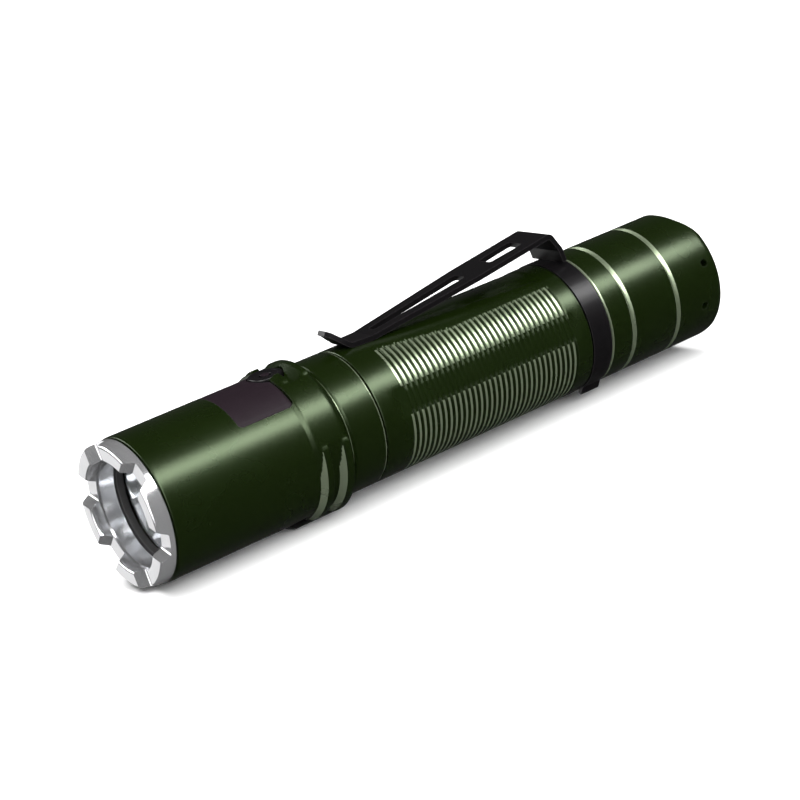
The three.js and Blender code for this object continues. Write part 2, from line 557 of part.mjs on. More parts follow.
function addTail() {
  addPiece('tailcap_housing', tailcapHousing(), FINISH.anodised);
  addPiece('switch_retaining_ring', ring(-50.4, -48.8, 8.0, 11.3, 32), FINISH.brass);
  addPiece('tail_board', disc(...TAIL_BOARD_X, 11.0), FINISH.board);
  addPiece('tail_spring', coil(-50.6, -46.3, 4.2, 2.4, 4, 0.35), FINISH.brass);
  addPiece('main_switch_body', box([-56.0, -4.2, MAIN_BUTTON_Z - 4.2], [-52.3, 4.2, MAIN_BUTTON_Z + 4.2]),
    FINISH.blackPlastic);
  addPiece('mode_switch_body', box([-56.8, -3, PADDLE_Z - 1.8], [-52.3, 3, PADDLE_Z + 1.8]),
    FINISH.blackPlastic);
  const boot = postX(-62.9, -57.9, MAIN_BUTTON_Z, MAIN_BUTTON_R, 32)
    .add(postX(-63.4, -62.8, MAIN_BUTTON_Z, MAIN_BUTTON_R - 0.8, 32))
    .add(postX(-58.5, -57.9, MAIN_BUTTON_Z, MAIN_BUTTON_R + 1.0, 32));
  addPiece('main_switch_button', boot, FINISH.rubber);
  const paddle = box([-62.7, -PADDLE_HALF_WIDTH, PADDLE_Z - PADDLE_HALF_HEIGHT],
    [-57.9, PADDLE_HALF_WIDTH, PADDLE_Z + PADDLE_HALF_HEIGHT])
    .add(box([-58.5, -4.6, PADDLE_Z - 2.5], [-57.9, 4.6, PADDLE_Z + 2.5]));
  addPiece('mode_switch_paddle', paddle, FINISH.steel);
}

addHead();
addBattery();
addClip();
addTail();

export default group;
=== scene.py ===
import json
import math
import bmesh
import bpy
from mathutils import Matrix, Vector


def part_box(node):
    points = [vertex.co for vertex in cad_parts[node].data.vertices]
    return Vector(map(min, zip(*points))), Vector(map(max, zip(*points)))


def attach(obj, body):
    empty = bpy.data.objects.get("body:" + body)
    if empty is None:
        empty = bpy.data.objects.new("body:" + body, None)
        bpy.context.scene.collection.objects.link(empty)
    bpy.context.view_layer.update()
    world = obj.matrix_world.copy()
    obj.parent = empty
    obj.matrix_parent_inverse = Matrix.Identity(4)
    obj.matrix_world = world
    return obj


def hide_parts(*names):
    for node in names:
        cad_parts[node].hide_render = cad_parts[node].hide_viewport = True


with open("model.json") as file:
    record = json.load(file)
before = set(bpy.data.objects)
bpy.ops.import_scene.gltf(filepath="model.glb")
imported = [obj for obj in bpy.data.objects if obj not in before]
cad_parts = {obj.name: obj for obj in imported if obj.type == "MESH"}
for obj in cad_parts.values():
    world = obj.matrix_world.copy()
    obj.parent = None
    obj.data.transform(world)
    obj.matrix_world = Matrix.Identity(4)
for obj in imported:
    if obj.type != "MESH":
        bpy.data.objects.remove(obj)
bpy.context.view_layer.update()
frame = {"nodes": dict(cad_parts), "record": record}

# All outlines below are in millimetres, in the light's own frame: x along the beam, radius from
# the light's axis. Angles about the axis are measured from straight up towards +Y, in degrees.
MM = 0.001
EDGE_STEPS = 3


# ---- places, from the frame ---------------------------------------------------------------------
def span(node, axis):
    low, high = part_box(node)
    return low[axis] / MM, high[axis] / MM


def radius_of(node):
    low, high = span(node, 1)
    return (high - low) / 2


tube_low, tube_high = span("battery_tube", 2)
AXIS_Z = (tube_low + tube_high) / 2
TUBE_R = radius_of("battery_tube")
HEAD_REAR, HEAD_FRONT = span("head_housing", 0)
FIN_R = radius_of("head_housing")
HEAD_R = radius_of("strike_bezel") + 0.2
BEZEL_TIP = span("strike_bezel", 0)[1]
BEZEL_REAR = HEAD_FRONT + 0.3
TAIL_TIP, TAIL_FRONT = span("tailcap_housing", 0)
COLLAR_REAR, COLLAR_FRONT = span("pocket_clip", 0)[0], span("pocket_clip", 0)[0] + 4.4
BUTTON_X = sum(span("side_switch_button", 0)) / 2
INLAY_REAR, INLAY_FRONT = span("dark_inlay", 0)
PORT_X = sum(span("charge_port_shell", 0)) / 2
MAIN_BUTTON_Z = sum(span("main_switch_button", 2)) / 2 - AXIS_Z
TO_AXIS = Matrix.Translation((0, 0, AXIS_Z * MM))


# ---- mesh tools -----------------------------------------------------------------------------------
def rounded(outline, steps=4, closed=True):
    """Turns [(u, v, fillet), ...] into points, with a curve of about that radius at each such corner."""
    points = []
    count = len(outline)
    for i, corner in enumerate(outline):
        here = Vector(corner[:2])
        fillet = corner[2] if len(corner) > 2 else 0
        if fillet == 0 or (not closed and i in (0, count - 1)):
            points.append(here)
            continue
        before = Vector(outline[i - 1][:2]) - here
        after = Vector(outline[(i + 1) % count][:2]) - here
        half = before.angle(after) / 2
        reach = min(fillet / math.tan(half), before.length * 0.49, after.length * 0.49)
        start = here + before.normalized() * reach
        end = here + after.normalized() * reach
        for k in range(steps + 1):
            t = k / steps
            points.append(start * (1 - t) ** 2 + here * 2 * t * (1 - t) + end * t ** 2)
    return points


def ring_of_edges(bm, points, closed):
    verts = [bm.verts.new(p) for p in points]
    edges = [bm.edges.new((a, b)) for a, b in zip(verts, verts[1:])]
    if closed:
        edges.append(bm.edges.new((verts[-1], verts[0])))
    return verts + edges


def turned(outline, segments=144, closed=True, steps=4):
    """A body of revolution about the light's axis, from an outline of (x, radius, fillet)."""
    bm = bmesh.new()
    points = [Vector((p.x, 0, p.y)) * MM for p in rounded(outline, steps, closed)]
    profile = ring_of_edges(bm, points, closed)
    bmesh.ops.spin(bm, geom=profile, cent=(0, 0, 0), axis=(1, 0, 0), angle=2 * math.pi,
                   steps=segments, use_merge=True)
    bmesh.ops.remove_doubles(bm, verts=bm.verts, dist=0.002 * MM)
    bmesh.ops.recalc_face_normals(bm, faces=bm.faces)
    return bm


def prism(outline, low, high, plane="yz", steps=4):
    """A straight prism of an outline in plane yz, xz or xy, between two places on the third axis."""
    place = {
        "yz": lambda p, w: Vector((w, p.x, p.y)),
        "xz": lambda p, w: Vector((p.x, w, p.y)),
        "xy": lambda p, w: Vector((p.x, p.y, w)),
    }[plane]
    bm = bmesh.new()
    face = bm.faces.new([bm.verts.new(place(p, low) * MM) for p in rounded(outline, steps)])
    grown = bmesh.ops.extrude_face_region(bm, geom=[face])
    moved = [v for v in grown["geom"] if isinstance(v, bmesh.types.BMVert)]
    height = place(Vector((0, 0)), high) - place(Vector((0, 0)), low)
    bmesh.ops.translate(bm, verts=moved, vec=height * MM)
    bmesh.ops.recalc_face_normals(bm, faces=bm.faces)
    return bm


def rectangle(u, v, fillet=0.0):
    return [(u[0], v[0], fillet), (u[1], v[0], fillet), (u[1], v[1], fillet), (u[0], v[1], fillet)]


def rise(value, low, high):
    """0 below low, 1 above high, with a smooth slope between them."""
    t = min(max((value - low) / (high - low), 0.0), 1.0)
    return t * t * (3 - 2 * t)


def reshape(bm, radius_at):
    """Moves the vertices of a turned body in or out, by radius_at(x, radius, degrees from the top)."""
    for vert in bm.verts:
        radius = math.hypot(vert.co.y, vert.co.z) / MM
        angle = abs(math.degrees(math.atan2(vert.co.y, vert.co.z)))
        wanted = radius_at(vert.co.x / MM, radius, angle)
        if wanted != radius:
            vert.co.y *= wanted / radius
            vert.co.z *= wanted / radius


def curved_block(inner, outer, low, high, half_angle, corner):
    """A block that wraps the light's axis, with corners rounded as seen from outside."""
    steps = 24
    across = [half_angle * (2 * i / steps - 1) for i in range(steps + 1)]
    outline = [(outer * math.sin(math.radians(a)), outer * math.cos(math.radians(a))) for a in across]
    across.reverse()
    outline += [(inner * math.sin(math.radians(a)), inner * math.cos(math.radians(a))) for a in across]
    bm = prism(outline, low, high)
    upright_edges = []
    for edge in bm.edges:
        a, b = (v.co for v in edge.verts)
        radii = [math.hypot(p.y, p.z) / MM for p in (a, b)]
        if abs(a.x - b.x) < 1e-7 and abs(radii[0] - radii[1]) > (outer - inner) * 0.9:
            upright_edges.append(edge)
    bmesh.ops.bevel(bm, geom=upright_edges, offset=corner * MM, offset_type="OFFSET", affect="EDGES",
                    segments=5, profile=0.5, material=-1)
    return bm


def turn_about_axis(bm, angle):
    """Turns a shape drawn on top of the light to its angle about the axis."""
    turn = Matrix.Rotation(math.radians(-angle), 3, "X")
    bmesh.ops.rotate(bm, verts=bm.verts, cent=(0, 0, 0), matrix=turn)
    return bm


def upright(bm, x, z=0.0):
    """Stands a shape turned about the light's axis up on z, with its axis through x."""
    turn = Matrix.Rotation(math.radians(-90), 3, "Y")
    bmesh.ops.rotate(bm, verts=bm.verts, cent=(0, 0, 0), matrix=turn)
    bmesh.ops.translate(bm, verts=bm.verts, vec=Vector((x, 0, z)) * MM)
    return bm


def as_object(bm, name):
    mesh = bpy.data.meshes.new(name)
    bm.to_mesh(mesh)
    bm.free()
    piece = bpy.data.objects.new(name, mesh)
    bpy.context.scene.collection.objects.link(piece)
    return piece


def carved(bm, cutters):
    """Cuts each cutter out of a shape and gives back the shape that is left."""
    blank = as_object(bm, "blank")
    tools = [as_object(cutter, "cutter") for cutter in cutters]
    for tool in tools:
        cut = blank.modifiers.new("cut", "BOOLEAN")
        cut.operation = "DIFFERENCE"
        cut.solver = "EXACT"
        cut.object = tool
    graph = bpy.context.evaluated_depsgraph_get()
    left = bmesh.new()
    left.from_mesh(blank.evaluated_get(graph).to_mesh())
    for extra in [blank, *tools]:
        bpy.data.meshes.remove(extra.data)
    bmesh.ops.remove_doubles(left, verts=left.verts, dist=0.002 * MM)
    bmesh.ops.dissolve_degenerate(left, dist=0.001 * MM, edges=left.edges)
    return left


def merged_copy(node):
    """A clean copy of a CAD node's mesh, about the light's axis, to be finished with round edges."""
    bm = bmesh.new()
    bm.from_mesh(frame["nodes"][node].data)
    bmesh.ops.transform(bm, matrix=TO_AXIS.inverted(), verts=bm.verts)
    bmesh.ops.remove_doubles(bm, verts=bm.verts, dist=0.005 * MM)
    bmesh.ops.dissolve_limit(bm, angle_limit=math.radians(1), verts=bm.verts, edges=bm.edges)
    return bm


def body_of_node(node):
    for body, members in frame["record"]["behaviour"]["bodies"].items():
        if node in members:
            return body
    raise ValueError(node)


def slot_of_node(node):
    for row in frame["record"]["subparts"]:
        if row["node"] == node:
            return row["material_slot"]
    raise ValueError(node)


def finished(bm, name, stands_for, material, round_edge=0.0, edge_angle=40, smooth_angle=40):
    """Places a shape on the light, rounds its edges and makes it the piece that stands for a CAD node."""
    bmesh.ops.transform(bm, matrix=TO_AXIS, verts=bm.verts)
    piece = as_object(bm, name)
    piece.data.shade_smooth()
    piece.data.set_sharp_from_angle(angle=math.radians(smooth_angle))
    if round_edge:
        edge = piece.modifiers.new("round edges", "BEVEL")
        edge.width = round_edge * MM
        edge.segments = EDGE_STEPS
        edge.limit_method = "ANGLE"
        edge.angle_limit = math.radians(edge_angle)
        edge.harden_normals = True
    piece.data.materials.append(material)
    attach(piece, body_of_node(stands_for))
    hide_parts(stands_for)
    return piece


def paint_bright_cut_and_highlights(piece, chosen):
    """Gives the faces that chosen(x, radius, degrees from the top) picks the lighter green finish, for
    bright-cut edges and for painted highlights.
    """
    piece.data.materials.append(BRIGHT_CUT_AND_PAINTED_HIGHLIGHT)
    for face in piece.data.polygons:
        middle = TO_AXIS.inverted() @ face.center
        radius = math.hypot(middle.y, middle.z) / MM
        angle = abs(math.degrees(math.atan2(middle.y, middle.z)))
        if chosen(middle.x / MM, radius, angle):
            face.material_index = 1


# ---- shader effects, made once --------------------------------------------------------------------
def new_group(name, inputs, outputs):
    tree = bpy.data.node_groups.new(name, "ShaderNodeTree")
    for label, kind, default in inputs:
        socket = tree.interface.new_socket(label, in_out="INPUT", socket_type=kind)
        if default is not None:
            socket.default_value = default
    for label, kind in outputs:
        tree.interface.new_socket(label, in_out="OUTPUT", socket_type=kind)
    return tree, tree.nodes.new("NodeGroupInput"), tree.nodes.new("NodeGroupOutput")


def math_node(tree, operation, a, b=None, clamp=False):
    node = tree.nodes.new("ShaderNodeMath")
    node.operation = operation
    node.use_clamp = clamp
    for socket, value in zip(node.inputs, (a, b)):
        if value is None:
            continue
        if isinstance(value, (int, float)):
            socket.default_value = value
        else:
            tree.links.new(value, socket)
    return node.outputs[0]


def noise(tree, vector, scale, detail=2.0, roughness=0.5):
    node = tree.nodes.new("ShaderNodeTexNoise")
    tree.links.new(vector, node.inputs["Vector"])
    node.inputs["Detail"].default_value = detail
    node.inputs["Roughness"].default_value = roughness
    if isinstance(scale, (int, float)):
        node.inputs["Scale"].default_value = scale
    else:
        tree.links.new(scale, node.inputs["Scale"])
    return node.outputs["Fac"]


def edge_wear_group():
    """Mask of rubbed edges: where the rounded normal leaves the face normal, broken up by noise."""
    inputs = [("Width", "NodeSocketFloat", 0.3 * MM), ("Amount", "NodeSocketFloat", 0.5)]
    tree, given, out = new_group("rubbed edges", inputs, [("Mask", "NodeSocketFloat")])
    bevel = tree.nodes.new("ShaderNodeBevel")
    bevel.samples = 6
    tree.links.new(given.outputs["Width"], bevel.inputs["Radius"])
    geometry = tree.nodes.new("ShaderNodeNewGeometry")
    dot = tree.nodes.new("ShaderNodeVectorMath")
    dot.operation = "DOT_PRODUCT"
    tree.links.new(bevel.outputs["Normal"], dot.inputs[0])
    tree.links.new(geometry.outputs["Normal"], dot.inputs[1])
    turned_away = math_node(tree, "SUBTRACT", 1.0, dot.outputs["Value"])
    coordinates = tree.nodes.new("ShaderNodeTexCoord")
    patches = noise(tree, coordinates.outputs["Object"], 700.0, 4.0, 0.65)
    broken = math_node(tree, "MULTIPLY", turned_away, math_node(tree, "MULTIPLY", patches, 14.0))
    rubbed = math_node(tree, "SUBTRACT", broken, 0.35, clamp=True)
    mask = math_node(tree, "MULTIPLY", rubbed, given.outputs["Amount"], clamp=True)
    tree.links.new(mask, out.inputs["Mask"])
    return tree


def fine_grain_group():
    """Even fine grain for height, and slow patches that vary colour and roughness."""
    inputs = [("Grain scale", "NodeSocketFloat", 9000.0), ("Patch scale", "NodeSocketFloat", 90.0)]
    outputs = [("Grain", "NodeSocketFloat"), ("Patches", "NodeSocketFloat")]
    tree, given, out = new_group("fine grain", inputs, outputs)
    coordinates = tree.nodes.new("ShaderNodeTexCoord")
    grain = noise(tree, coordinates.outputs["Object"], given.outputs["Grain scale"], 2.0, 0.6)
    patches = noise(tree, coordinates.outputs["Object"], given.outputs["Patch scale"], 3.0, 0.55)
    tree.links.new(grain, out.inputs["Grain"])
    tree.links.new(patches, out.inputs["Patches"])
    return tree


def lathe_marks_group():
    """Very fine turning lines round the light's axis."""
    inputs = [("Pitch", "NodeSocketFloat", 0.08 * MM)]
    tree, given, out = new_group("turning lines", inputs, [("Lines", "NodeSocketFloat")])
    coordinates = tree.nodes.new("ShaderNodeTexCoord")
    split = tree.nodes.new("ShaderNodeSeparateXYZ")
    tree.links.new(coordinates.outputs["Object"], split.inputs[0])
    along = math_node(tree, "DIVIDE", split.outputs["X"], given.outputs["Pitch"])
    join = tree.nodes.new("ShaderNodeCombineXYZ")
    tree.links.new(along, join.inputs["X"])
    lines = noise(tree, join.outputs[0], 1.0, 3.0, 0.7)
    tree.links.new(lines, out.inputs["Lines"])
    return tree


RUBBED_EDGES = edge_wear_group()
FINE_GRAIN = fine_grain_group()
TURNING_LINES = lathe_marks_group()


# ---- materials ------------------------------------------------------------------------------------
def use(tree, group, **values):
    node = tree.nodes.new("ShaderNodeGroup")
    node.node_tree = group
    for label, value in values.items():
        node.inputs[label.replace("_", " ")].default_value = value
    return node.outputs


def mixed_colour(tree, factor, first, second):
    node = tree.nodes.new("ShaderNodeMix")
    node.data_type = "RGBA"
    if isinstance(factor, (int, float)):
        node.inputs["Factor"].default_value = factor
    else:
        tree.links.new(factor, node.inputs["Factor"])
    for socket, value in ((node.inputs[6], first), (node.inputs[7], second)):
        if isinstance(value, tuple):
            socket.default_value = (*value, 1.0)
        else:
            tree.links.new(value, socket)
    return node.outputs[2]


def ranged(tree, value, low, high):
    node = tree.nodes.new("ShaderNodeMapRange")
    tree.links.new(value, node.inputs["Value"])
    node.inputs["To Min"].default_value = low
    node.inputs["To Max"].default_value = high
    return node.outputs["Result"]


def bumped(tree, height, shader, distance):
    node = tree.nodes.new("ShaderNodeBump")
    node.inputs["Strength"].default_value = 1.0
    node.inputs["Distance"].default_value = distance
    tree.links.new(height, node.inputs["Height"])
    tree.links.new(node.outputs["Normal"], shader.inputs["Normal"])


def plain_material(name, metallic=0.0):
    material = bpy.data.materials.new(name)
    material.use_nodes = True
    tree = material.node_tree
    shader = tree.nodes["Principled BSDF"]
    shader.inputs["Metallic"].default_value = metallic
    return material, tree, shader


def surfaced(name, colour, worn_colour, roughness, metallic=0.0, vary=0.12, grain=0.004, wear=0.5,
             wear_width=0.25, grain_scale=9000.0, lines=0.0, specular=0.5):
    """A finish with grain, slow variation, rubbed edges and, on turned metal, fine lines."""
    material, tree, shader = plain_material(name, metallic)
    shader.inputs["Specular IOR Level"].default_value = specular
    texture = use(tree, FINE_GRAIN, Grain_scale=grain_scale)
    worn = use(tree, RUBBED_EDGES, Width=wear_width * MM, Amount=wear)["Mask"]
    darker = tuple(c * (1 - vary) for c in colour)
    lighter = tuple(c * (1 + vary) for c in colour)
    varied = mixed_colour(tree, texture["Patches"], darker, lighter)
    tree.links.new(mixed_colour(tree, worn, varied, worn_colour), shader.inputs["Base Color"])
    uneven = ranged(tree, texture["Patches"], roughness * 0.88, roughness * 1.12)
    tree.links.new(uneven, shader.inputs["Roughness"])
    height = texture["Grain"]
    if lines:
        marks = use(tree, TURNING_LINES)["Lines"]
        height = math_node(tree, "ADD", height, math_node(tree, "MULTIPLY", marks, lines))
    bumped(tree, height, shader, grain * MM)
    return material


GREEN = surfaced("dark green anodising", (0.0075, 0.0165, 0.0010), (0.20, 0.24, 0.17), 0.27, metallic=0.65,
                 grain=0.008, wear=0.5, wear_width=0.12, lines=0.3, specular=0.6)
# Lighter green, partly bright-cut edges and partly painted highlight: it paints the fins' slopes, ring
# crests and tail grooves lighter where highlights fall.
BRIGHT_CUT_AND_PAINTED_HIGHLIGHT = surfaced("green bright-cut edges and painted highlights", (0.20, 0.24, 0.16), (0.28, 0.32, 0.24), 0.28, metallic=0.75,
                      grain=0.004, wear=0.5, wear_width=0.12)
STEEL = surfaced("polished steel", (0.60, 0.60, 0.61), (0.80, 0.80, 0.81), 0.14, metallic=0.86,
                 vary=0.04, grain=0.003, wear=0.4, lines=0.8)
BLACK_STEEL = surfaced("black coated steel", (0.0026, 0.0022, 0.0026), (0.05, 0.046, 0.048), 0.33,
                       grain=0.006, wear=0.35, specular=0.2)
MIRROR = surfaced("mirror coating", (0.86, 0.86, 0.87), (0.88, 0.88, 0.88), 0.045, metallic=0.8,
                  vary=0.01, grain=0.0004, wear=0.0)
RUBBER = surfaced("black rubber", (0.014, 0.014, 0.014), (0.035, 0.034, 0.033), 0.78, grain=0.02,
                  grain_scale=6000.0, wear=0.3)
BLACK_PLASTIC = surfaced("black plastic", (0.0085, 0.0052, 0.0073), (0.022, 0.018, 0.021), 0.45,
                         grain=0.008, specular=0.1)
WHITE_PLASTIC = surfaced("white plastic", (0.80, 0.79, 0.76), (0.85, 0.84, 0.82), 0.45, grain=0.004,
                         wear=0.1)
BOARD = surfaced("solder mask", (0.03, 0.13, 0.05), (0.10, 0.22, 0.10), 0.42, grain=0.006)
COPPER = surfaced("bare copper", (0.78, 0.42, 0.24), (0.86, 0.55, 0.38), 0.28, metallic=1.0, grain=0.004)
BRASS = surfaced("gold plated brass", (0.80, 0.60, 0.26), (0.88, 0.72, 0.42), 0.25, metallic=1.0,
                 grain=0.004)
NICKEL = surfaced("nickel plate", (0.66, 0.65, 0.63), (0.74, 0.73, 0.71), 0.24, metallic=1.0, grain=0.004)
CELL_WRAP = surfaced("shrink wrap", (0.035, 0.08, 0.26), (0.08, 0.13, 0.33), 0.30, grain=0.004,
                     grain_scale=900.0)
PHOSPHOR = surfaced("yellow phosphor", (0.85, 0.66, 0.08), (0.88, 0.72, 0.2), 0.5, grain=0.003, wear=0.0)


def lens_glass():
    material, tree, shader = plain_material("coated glass")
    shader.inputs["Base Color"].default_value = (0.96, 0.98, 1.0, 1.0)
    shader.inputs["Roughness"].default_value = 0.02
    shader.inputs["IOR"].default_value = 1.46
    shader.inputs["Transmission Weight"].default_value = 1.0
    texture = use(tree, FINE_GRAIN, Grain_scale=1500.0, Patch_scale=400.0)
    bumped(tree, texture["Patches"], shader, 0.0004 * MM)
    return material


GLASS = lens_glass()


# ---- head -----------------------------------------------------------------------------------------
NECK_GROOVE_X = 24.1
FIN_FOOT_R = 13.05
PAD_R = 14.1
PAD_ENDS = (24.5, 25.7, 31.7, 32.5)
PAD_ANGLES = (25, 83)
SLOPES_X = (26.5, 30.7)
# Width of the painted highlight band on the fins' slopes.
BRIGHT_WIDTH = 1.2
HEAD_BORE_R = 11.7
BEZEL_BORE_R = 12.4
LENS_BORE_R = 11.9
BOARD_WALL_X = (34.8, 37.6)
WIRE_HOLE_R = 2.2
PORT_HALF_WIDTH = 4.75
COVER_SEAT_X = (25.2, 35.2)
COVER_SEAT_Z = -13.25
INLAY_HALF_ANGLE = 45.5
INLAY_DEPTH = 0.55


def pad_radius(x):
    """Side profile of the smooth pads that bridge the fins beside the switch."""
    if x < PAD_ENDS[1]:
        return FIN_FOOT_R + (PAD_R - FIN_FOOT_R) * (x - PAD_ENDS[0]) / (PAD_ENDS[1] - PAD_ENDS[0])
    if x > PAD_ENDS[2]:
        return PAD_R + (HEAD_R - PAD_R) * (x - PAD_ENDS[2]) / (PAD_ENDS[3] - PAD_ENDS[2])
    return PAD_R


def pad_level(x, angle):
    """Radius of a pad, whose lower end runs down to the foot of the fins."""
    run_out = min(max((angle - 82) / 22, 0), 1)
    return pad_radius(x) + (FIN_FOOT_R - pad_radius(x)) * run_out


def fins_and_pads(x, radius, angle):
    """Lifts the fins' surface to the pads between the pads' two edges."""
    if radius < 12.6 or not PAD_ENDS[0] <= x <= PAD_ENDS[3]:
        return radius
    top, bottom = PAD_ANGLES
    on_pad = rise(angle, top - 1.5, top + 1.5) * (1 - rise(angle, bottom - 1.5, bottom + 1.5))
    radius += (pad_radius(x) - radius) * on_pad
    return max(radius, pad_level(x, angle)) if angle > bottom - 1.5 else radius


def stations(start, end):
    """Points spaced evenly between two points of an outline."""
    return [tuple(a + (b - a) * i / 12 for a, b in zip(start, end)) for i in range(1, 12)]


def head_housing():
    slope1, slope2 = SLOPES_X
    outline = [
        (HEAD_REAR, TUBE_R, 0.3), (NECK_GROOVE_X - 0.5, TUBE_R, 0.1), (NECK_GROOVE_X, TUBE_R - 0.5, 0.1),
        (24.5, FIN_FOOT_R, 0.1), (25.4, FIN_R, 0.3), (slope1, FIN_R, 0.3),
        *stations((slope1, FIN_R), (28.4, FIN_FOOT_R)), (28.4, FIN_FOOT_R, 0.2),
        (29.4, FIN_FOOT_R, 0.15), (29.8, FIN_R, 0.2), (slope2, FIN_R, 0.3),
        *stations((slope2, FIN_R), (32.5, HEAD_R)), (32.5, HEAD_R, 0.2),
        (INLAY_FRONT + 0.4, HEAD_R), (INLAY_FRONT + 1.2, HEAD_R), (HEAD_FRONT - 0.8, HEAD_R),
        (HEAD_FRONT, HEAD_R, 0.3), (HEAD_FRONT, BEZEL_BORE_R), (56.2, BEZEL_BORE_R), (56.2, LENS_BORE_R),
        (BOARD_WALL_X[1], LENS_BORE_R), (BOARD_WALL_X[1], WIRE_HOLE_R),
        (BOARD_WALL_X[0], WIRE_HOLE_R), (BOARD_WALL_X[0], HEAD_BORE_R), (HEAD_REAR, HEAD_BORE_R),
    ]
    cutters = [
        curved_block(HEAD_R - INLAY_DEPTH, 16, INLAY_REAR - 0.08, INLAY_FRONT + 0.08,
                     INLAY_HALF_ANGLE + 0.35, 0.9),
        upright(turned([(10, 0), (10, 3.4), (16, 3.4), (16, 0)], 96, closed=False), BUTTON_X),
        prism(rectangle(COVER_SEAT_X, (-6.6, 6.6), 1.2), -16, COVER_SEAT_Z, "xy"),
        prism(rectangle((PORT_X - 1.9, PORT_X + 1.9), (-PORT_HALF_WIDTH, PORT_HALF_WIDTH), 0.5),
              -16, -10, "xy"),
    ]
    body = turned(outline, 240)
    reshape(body, fins_and_pads)
    head = finished(carved(body, cutters), "head_housing_shell", "head_housing", GREEN, round_edge=0.12)

    # Painted highlight: below 84° from the top, the fins' slopes are painted lighter, in a band that widens
    # downwards to BRIGHT_WIDTH. The rear edge and the neck groove are painted as light lines all round:
    # bright-cut edges that also stand in for their highlights.
    def bright(x, radius, angle):
        highlight_width = BRIGHT_WIDTH * min(max((angle - 84) / 20, 0), 1)
        on_slope = 0.25 < x - slope1 < 0.25 + highlight_width or 0.25 < x - slope2 < 0.25 + highlight_width
        return radius > 12 and (HEAD_REAR <= x < HEAD_REAR + 0.3 or 24.0 < x < 24.5 or on_slope)

    paint_bright_cut_and_highlights(head, bright)


# ---- bezel and optics -----------------------------------------------------------------------------
SKIRT_REAR = 56.6
SKIRT_BORE_R, SKIRT_R = 11.75, 12.1
OPENING_R = 10.3
LIP_X = 59.4
BEZEL_GROOVE_X, BEZEL_GROOVE_R = (62.4, 62.9), 10.9
NOTCHES = 6
FIRST_NOTCH = 45
LENS_R = 11.5
GASKET_BORE_R = 9.9
THROAT_R, MOUTH_R = 2.6, 10.7
CURVE_STEPS = 32
BOWL_WALL = 0.8


def bezel():
    rim_r = HEAD_R - 0.2
    groove_rear, groove_front = BEZEL_GROOVE_X
    outline = [
        (SKIRT_REAR, SKIRT_BORE_R), (SKIRT_REAR, SKIRT_R), (BEZEL_REAR, SKIRT_R), (BEZEL_REAR, rim_r, 0.2),
        (BEZEL_TIP, rim_r, 0.7), (BEZEL_TIP, OPENING_R, 0.6), (groove_front, OPENING_R),
        (groove_front, BEZEL_GROOVE_R), (groove_rear, BEZEL_GROOVE_R), (groove_rear, OPENING_R),
        (LIP_X, OPENING_R, 0.1), (LIP_X, SKIRT_BORE_R),
    ]
    cutters = []
    for i in range(NOTCHES):
        notch = prism([(BEZEL_TIP - 2.0, -1.9, 0.5), (BEZEL_TIP + 1, -3.6), (BEZEL_TIP + 1, 3.6),
                       (BEZEL_TIP - 2.0, 1.9, 0.5)], 9, 17, "xy")
        cutters.append(turn_about_axis(notch, FIRST_NOTCH + 360 / NOTCHES * i))
    crown = carved(turned(outline, 180), cutters)
    finished(crown, "strike_bezel_crown", "strike_bezel", STEEL, round_edge=0.18)


def optics():
    rear, front = span("reflector", 0)
    curve = []
    for i in range(CURVE_STEPS + 1):
        r = THROAT_R + (MOUTH_R - THROAT_R) * i / CURVE_STEPS
        along = (r * r - THROAT_R * THROAT_R) / (MOUTH_R * MOUTH_R - THROAT_R * THROAT_R)
        curve.append((rear + along * (front - rear), r))
    back = [(x - 0.5, r + BOWL_WALL) for x, r in curve[-5::-3]]
    outline = [*curve, (front, LENS_R, 0.1), (front - 1.4, LENS_R, 0.1), (front - 1.5, 11.1), *back,
               (rear, THROAT_R + BOWL_WALL)]
    finished(turned(outline, 160), "reflector_bowl", "reflector", MIRROR)
    lens_rear, lens_front = span("front_lens", 0)
    lens = turned([(lens_rear, 0), (lens_rear, LENS_R, 0.2), (lens_front, LENS_R, 0.2), (lens_front, 0)],
                  128, closed=False)
    finished(lens, "front_lens_glass", "front_lens", GLASS)
    seat_rear, seat_front = span("lens_gasket", 0)
    gasket = turned(rectangle((seat_rear, seat_front), (GASKET_BORE_R, LENS_R), 0.2), 128)
    finished(gasket, "lens_gasket_ring", "lens_gasket", RUBBER)


# ---- side switch ----------------------------------------------------------------------------------
INLAY_SEAT_R = 12.75
FLANGE_HOLE_R, FLANGE_HOLE_TOP = 4.15, 12.9
CAP_HOLE_R = 3.5
FLANGE_R, CAP_R = 3.9, 3.2


def side_switch():
    inlay = curved_block(INLAY_SEAT_R, HEAD_R - 0.02, INLAY_REAR, INLAY_FRONT, INLAY_HALF_ANGLE, 0.85)
    hole = turned([(10, 0), (10, FLANGE_HOLE_R), (FLANGE_HOLE_TOP, FLANGE_HOLE_R),
                   (FLANGE_HOLE_TOP, CAP_HOLE_R), (16, CAP_HOLE_R), (16, 0)], 96, closed=False)
    upright(hole, BUTTON_X)
    finished(carved(inlay, [hole]), "dark_inlay_panel", "dark_inlay", BLACK_PLASTIC, round_edge=0.1)
    low, high = span("side_switch_button", 2)
    bottom, top = low - AXIS_Z, high - AXIS_Z
    cap = turned([(bottom, 0), (bottom, FLANGE_R, 0.1), (bottom + 0.55, FLANGE_R, 0.1),
                  (bottom + 0.55, CAP_R, 0.1), (top, CAP_R, 0.45), (top, 2.5, 0.2), (top - 0.2, 2.2, 0.3),
                  (top - 0.2, 1.15, 0.1), (top - 0.9, 1.15), (top - 0.9, 0)], 96, closed=False)
    finished(upright(cap, BUTTON_X), "side_switch_cap", "side_switch_button", BLACK_STEEL)


